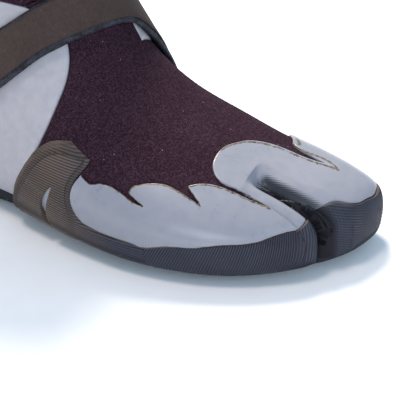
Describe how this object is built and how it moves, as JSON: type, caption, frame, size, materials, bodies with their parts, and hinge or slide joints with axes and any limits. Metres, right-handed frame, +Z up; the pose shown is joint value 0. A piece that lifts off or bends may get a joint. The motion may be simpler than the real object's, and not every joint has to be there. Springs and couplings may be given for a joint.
{
  "type": "split-toe neoprene surf boot",
  "caption": "Ankle-high split-toe neoprene surf boot for the right foot, with a moulded rubber rand, grey toe film and an instep strap that opens and peels.",
  "frame": {"origin": "centre of the boot's bounding box, at the height of the tread's flat underside", "axes": "+X points from heel to toes, +Y to the big toe side, +Z up"},
  "size_m": [0.286, 0.1134, 0.2113],
  "materials": {
    "plum_foam": "matt mottled knit face on foam",
    "pale_foam": "smooth skin foam",
    "film_grey": "smooth satin abrasion film",
    "black_rubber": "finely ribbed moulded rubber",
    "tread_rubber": "matt tread rubber",
    "towelling": "brushed lining",
    "binding_tape": "woven tape",
    "strap_weave": "fine woven face",
    "black_foam": "cut foam edge",
    "hook_tape": "hook and loop tape",
    "thread": "sewing thread"
  },
  "bodies": {
    "boot": {"bottom_panel": "plum_foam", "vamp_panel": "plum_foam", "lateral_quarter": "pale_foam", "medial_quarter": "pale_foam", "heel_panel": "plum_foam", "shaft_panel": "plum_foam", "lining": "towelling", "insole": "towelling", "cuff_binding": "binding_tape", "outsole": "tread_rubber", "lateral_toe_rand": "black_rubber", "big_toe_rand": "black_rubber", "medial_wing": "black_rubber", "lateral_wing": "black_rubber", "heel_counter": "black_rubber", "toe_film": "film_grey", "strap_root": "strap_weave", "strap_inner_backing": "black_foam", "strap_inner_face": "strap_weave", "loop_patch": "hook_tape", "pull_tab_patch": "binding_tape", "back_seam_tape": "binding_tape", "strap_tack_front": "thread", "strap_tack_rear": "thread"},
    "strap_flap": {"strap_flap_backing": "black_foam", "strap_flap_face": "strap_weave"},
    "strap_tip_body": {"strap_tip": "strap_weave", "hook_pad": "hook_tape", "strap_tip_grip": "black_rubber"},
    "pull_tab": {"pull_tab_loop": "binding_tape"}
  },
  "joints": [
    {"name": "strap_lift", "type": "hinge", "parent": "boot", "child": "strap_flap", "pos_m": [0.00749, 0.00902, 0.11736], "axis": [-0.309, -0.203, 0.9291], "range_deg": [0, 120]},
    {"name": "strap_peel", "type": "hinge", "parent": "strap_flap", "child": "strap_tip_body", "pos_m": [-0.0472, -0.0403, 0.089], "axis": [-0.5198, 0.089, 0.8497], "range_deg": [0, 80]},
    {"name": "pull_tab_swing", "type": "hinge", "parent": "boot", "child": "pull_tab", "pos_m": [-0.1276, 0.0033, 0.1926], "axis": [0, 1, 0], "range_deg": [0, 90]}
  ]
}
